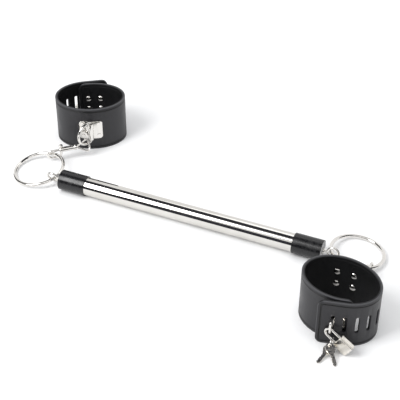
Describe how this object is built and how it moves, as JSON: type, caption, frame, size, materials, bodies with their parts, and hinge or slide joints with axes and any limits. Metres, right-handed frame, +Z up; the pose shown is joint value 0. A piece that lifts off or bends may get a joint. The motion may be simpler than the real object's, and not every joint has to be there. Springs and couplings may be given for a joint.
{
  "type": "spreader bar with padlocked wrist cuffs",
  "caption": "Chromed spreader bar with a padlocked leather wrist cuff linked to each end by an O-ring, a swivel snap hook and a D-ring.",
  "frame": {"origin": "on the surface the set lies on, under the middle of its bounding box", "axes": "+X along the bar towards the right-hand cuff, +Z up"},
  "size_m": [0.4454, 0.2998, 0.054],
  "materials": {
    "polished_chrome": "polished chrome plate",
    "black_sleeve": "glossy black",
    "plug_grey": "satin turned aluminium",
    "nickel": "bright nickel plate",
    "spring_steel": "bare spring steel",
    "leather_outer": "smooth black leather",
    "leather_lining": "matt black leather",
    "brushed_nickel": "brushed nickel plate"
  },
  "bodies": {
    "bar": {"bar_tube": "polished_chrome", "end_plug_left": "plug_grey", "end_sleeve_left": "black_sleeve", "eye_bolt_left": "nickel", "lock_nut_left": "nickel", "end_plug_right": "plug_grey", "end_sleeve_right": "black_sleeve", "eye_bolt_right": "nickel", "lock_nut_right": "nickel"},
    "ring_left": {"o_ring_left": "nickel"},
    "snap_left": {"hook_body_left": "nickel", "bolt_spring_left": "spring_steel"},
    "bolt_left": {"hook_bolt_left": "nickel"},
    "bail_left": {"swivel_bail_left": "nickel"},
    "dee_left": {"d_ring_left": "nickel"},
    "cuff_left": {"cuff_leather_left": "leather_outer", "cuff_lining_left": "leather_lining", "d_plate_left": "nickel", "lock_staple_left": "nickel", "d_plate_rivets_left": "nickel", "staple_rivets_left": "nickel"},
    "shackle_left": {"shackle_left": "nickel"},
    "padlock_left": {"lock_body_left": "brushed_nickel"},
    "plug_left": {"lock_cylinder_left": "brushed_nickel"},
    "keyring_left": {"key_ring_left": "nickel"},
    "key_a_left": {"key_a_left": "brushed_nickel"},
    "key_b_left": {"key_b_left": "brushed_nickel"},
    "ring_right": {"o_ring_right": "nickel"},
    "snap_right": {"hook_body_right": "nickel", "bolt_spring_right": "spring_steel"},
    "bolt_right": {"hook_bolt_right": "nickel"},
    "bail_right": {"swivel_bail_right": "nickel"},
    "dee_right": {"d_ring_right": "nickel"},
    "cuff_right": {"cuff_leather_right": "leather_outer", "cuff_lining_right": "leather_lining", "d_plate_right": "nickel", "lock_staple_right": "nickel", "d_plate_rivets_right": "nickel", "staple_rivets_right": "nickel"},
    "shackle_right": {"shackle_right": "nickel"},
    "padlock_right": {"lock_body_right": "brushed_nickel"},
    "plug_right": {"lock_cylinder_right": "brushed_nickel"},
    "keyring_right": {"key_ring_right": "nickel"},
    "key_a_right": {"key_a_right": "brushed_nickel"},
    "key_b_right": {"key_b_right": "brushed_nickel"}
  },
  "joints": [
    {"name": "ring_swing_left", "type": "hinge", "parent": "bar", "child": "ring_left", "pos_m": [-0.16846, -0.01, 0.0095], "axis": [-0.403, -0.9051, -0.1352], "range_deg": [-125, 120]},
    {"name": "snap_swing_left", "type": "hinge", "parent": "ring_left", "child": "snap_left", "pos_m": [-0.18956, 0.02871, 0.00953], "axis": [0.9793, -0.1516, 0.1345], "range_deg": [-140, 110]},
    {"name": "bolt_slide_left", "type": "slide", "parent": "snap_left", "child": "bolt_left", "axis": [0.7793, 0.6266, 0.0116], "range_m": [0, 0.006], "stiffness_N_per_m": 120, "springref_m": -0.004, "deforming": ["bolt_spring_left"]},
    {"name": "bail_swivel_left", "type": "hinge", "parent": "snap_left", "child": "bail_left", "pos_m": [-0.16879, 0.04541, 0.01394], "axis": [-0.7793, -0.6266, -0.0116], "range_deg": [-110, 140]},
    {"name": "dee_swing_left", "type": "hinge", "parent": "bail_left", "child": "dee_left", "pos_m": [-0.16206, 0.05194, 0.01507], "axis": [0.2957, 0.854, -0.428], "range_deg": [-25, 8]},
    {"name": "cuff_swing_left", "type": "hinge", "parent": "dee_left", "child": "cuff_left", "pos_m": [-0.15838, 0.06257, 0.027], "axis": [0, 0, -1], "range_deg": [-30, 110]},
    {"name": "padlock_swing_left", "type": "hinge", "parent": "cuff_left", "child": "shackle_left", "pos_m": [-0.18394, 0.12518, 0.0187], "axis": [-0.2066, 0.9784, 0], "range_deg": [-8, 65]},
    {"name": "shackle_slide_left", "type": "slide", "parent": "shackle_left", "child": "padlock_left", "axis": [-0.8473, -0.1789, -0.5001], "range_m": [0, 0.006]},
    {"name": "plug_turn_left", "type": "hinge", "parent": "padlock_left", "child": "plug_left", "pos_m": [-0.20512, 0.12071, 0.0062], "axis": [-0.8473, -0.1789, -0.5001], "range_deg": [0, 90]},
    {"name": "keyring_swing_left", "type": "hinge", "parent": "shackle_left", "child": "keyring_left", "pos_m": [-0.18679, 0.12458, 0.01136], "axis": [-0.9402, -0.3408, 0], "range_deg": [-65, 0]},
    {"name": "key_a_swing_left", "type": "hinge", "parent": "keyring_left", "child": "key_a_left", "pos_m": [-0.18865, 0.12971, 0.00554], "axis": [-0.241, 0.6648, 0.7071], "range_deg": [-75, 20]},
    {"name": "key_b_swing_left", "type": "hinge", "parent": "keyring_left", "child": "key_b_left", "pos_m": [-0.18917, 0.13112, 0.00967], "axis": [0.0297, -0.0819, 0.9962], "range_deg": [-35, 0]},
    {"name": "ring_swing_right", "type": "hinge", "parent": "bar", "child": "ring_right", "pos_m": [0.15294, -0.01, 0.0099], "axis": [-0.6392, 0.7675, -0.0473], "range_deg": [-85, 80]},
    {"name": "snap_swing_right", "type": "hinge", "parent": "ring_right", "child": "snap_right", "pos_m": [0.19298, -0.01271, 0.00715], "axis": [-0.7242, -0.6751, 0.1409], "range_deg": [-135, 90]},
    {"name": "bolt_slide_right", "type": "slide", "parent": "snap_right", "child": "bolt_right", "axis": [-0.0958, -0.9947, 0.0363], "range_m": [0, 0.006], "stiffness_N_per_m": 120, "springref_m": -0.004, "deforming": ["bolt_spring_right"]},
    {"name": "bail_swivel_right", "type": "hinge", "parent": "snap_right", "child": "bail_right", "pos_m": [0.19044, -0.03912, 0.01222], "axis": [0.0958, 0.9947, -0.0363], "continuous": true},
    {"name": "dee_swing_right", "type": "hinge", "parent": "bail_right", "child": "dee_right", "pos_m": [0.18899, -0.05026, 0.01459], "axis": [-0.9145, -0.2179, -0.3409], "range_deg": [-15, 70]},
    {"name": "cuff_swing_right", "type": "hinge", "parent": "dee_right", "child": "cuff_right", "pos_m": [0.17917, -0.0526, 0.027], "axis": [0, 0, -1], "range_deg": [0, 70]},
    {"name": "padlock_swing_right", "type": "hinge", "parent": "cuff_right", "child": "shackle_right", "pos_m": [0.18568, -0.1247, 0.0187], "axis": [-0.1777, -0.9841, 0], "range_deg": [-8, 65]},
    {"name": "shackle_slide_right", "type": "slide", "parent": "shackle_right", "child": "padlock_right", "axis": [0.8522, -0.1539, -0.5001], "range_m": [0, 0.006]},
    {"name": "plug_turn_right", "type": "hinge", "parent": "padlock_right", "child": "plug_right", "pos_m": [0.20699, -0.12855, 0.0062], "axis": [0.8522, -0.1539, -0.5001], "range_deg": [0, 90]},
    {"name": "keyring_swing_right", "type": "hinge", "parent": "shackle_right", "child": "keyring_right", "pos_m": [0.18855, -0.12522, 0.01136], "axis": [0.9992, -0.0391, 0], "range_deg": [-65, 0]},
    {"name": "key_a_swing_right", "type": "hinge", "parent": "keyring_right", "child": "key_a_right", "pos_m": [0.18834, -0.13068, 0.00554], "axis": [-0.0276, -0.7066, 0.7071], "range_deg": [-75, 20]},
    {"name": "key_b_swing_right", "type": "hinge", "parent": "keyring_right", "child": "key_b_right", "pos_m": [0.18828, -0.13218, 0.00967], "axis": [0.0034, 0.0871, 0.9962], "range_deg": [-35, 0]}
  ]
}
